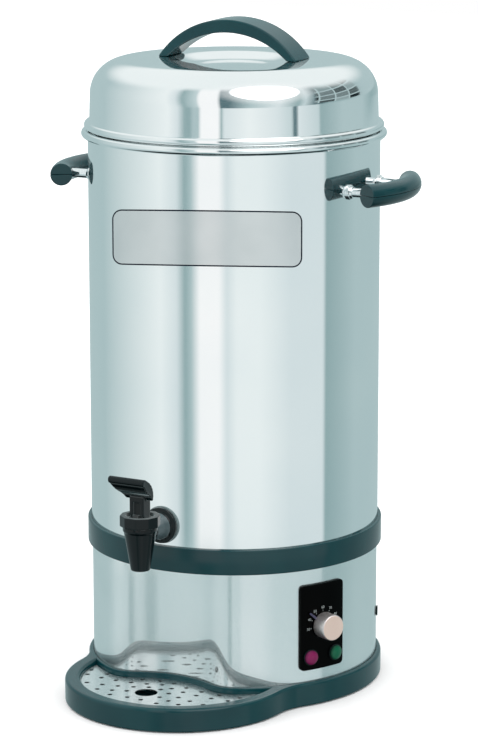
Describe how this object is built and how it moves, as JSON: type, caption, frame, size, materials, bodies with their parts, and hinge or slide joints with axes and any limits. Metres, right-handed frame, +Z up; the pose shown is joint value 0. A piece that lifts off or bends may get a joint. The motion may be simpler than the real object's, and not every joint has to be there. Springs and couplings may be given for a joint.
{
  "type": "mulled wine boiler",
  "caption": "Tall stainless drink boiler with lift-off lid, side grips, lever tap, control panel and a drip grid in a lobed base.",
  "frame": {"origin": "middle of the footprint, on the table", "axes": "+Z up, -Y towards the user in front of the tap, +X to the user's right"},
  "size_m": [0.3566, 0.3526, 0.62],
  "materials": {
    "pot_steel": "polished",
    "chrome": "polished",
    "slate_plastic": "satin",
    "black_plastic": "gloss",
    "rubber": "matte",
    "silicone": "matte",
    "knob_metal": "brushed",
    "red_lens": "clear",
    "green_lens": "clear",
    "aluminium": "plain",
    "element_steel": "dull",
    "copper": "plain",
    "light_plastic": "plain"
  },
  "bodies": {
    "boiler": {"base_moulding": "slate_plastic", "rubber_feet": "rubber", "tie_rods": "chrome", "tie_nuts": "chrome", "lower_housing": "pot_steel", "trim_band": "slate_plastic", "pot": "pot_steel", "right_grip_upper": "slate_plastic", "right_grip_lower": "slate_plastic", "left_grip_upper": "slate_plastic", "left_grip_lower": "slate_plastic", "grip_studs": "chrome", "grip_collars": "chrome", "tap_body": "black_plastic", "tap_seal_outer": "silicone", "tap_seal_inner": "silicone", "tap_nut": "black_plastic", "tap_bonnet": "black_plastic", "tap_pivot_pin": "chrome", "control_panel": "black_plastic", "thermostat_body": "light_plastic", "thermostat_bulb": "copper", "pilot_lens_red": "red_lens", "pilot_lens_green": "green_lens", "pilot_lamp_bodies": "black_plastic", "heating_element": "element_steel", "heat_plate": "aluminium", "safety_cutout": "light_plastic", "terminal_block": "light_plastic", "mains_gland": "rubber"},
    "lid": {"lid_shell": "pot_steel", "lid_bow": "slate_plastic", "lid_screws": "chrome"},
    "drip_grid": {"drip_grid": "pot_steel"},
    "tap_lever": {"tap_lever": "black_plastic"},
    "tap_seat": {"tap_seat_cup": "silicone"},
    "thermostat": {"thermostat_knob": "knob_metal", "thermostat_shaft": "chrome"}
  },
  "joints": [
    {"name": "lid_lift", "type": "slide", "parent": "boiler", "child": "lid", "axis": [0, 0, 1], "range_m": [0, 0.15]},
    {"name": "grid_lift", "type": "slide", "parent": "boiler", "child": "drip_grid", "axis": [0, 0, 1], "range_m": [0, 0.06]},
    {"name": "tap_lever_tilt", "type": "hinge", "parent": "boiler", "child": "tap_lever", "pos_m": [0, -0.1397, 0.184], "axis": [1, 0, 0], "range_deg": [0, 25], "stiffness_Nm_per_rad": 0.4, "springref_deg": -11.46},
    {"name": "tap_seat_lift", "type": "slide", "parent": "boiler", "child": "tap_seat", "axis": [0, 0, 1], "range_m": [0, 0.002]},
    {"name": "thermostat_turn", "type": "hinge", "parent": "boiler", "child": "thermostat", "pos_m": [0.12719, -0.0232, 0.0753], "axis": [0.9085, -0.4179, 0], "range_deg": [-222, 48]}
  ],
  "couplings": [
    {"joint": "tap_seat_lift", "follows": "tap_lever_tilt", "m_per_rad": 0.0043}
  ]
}
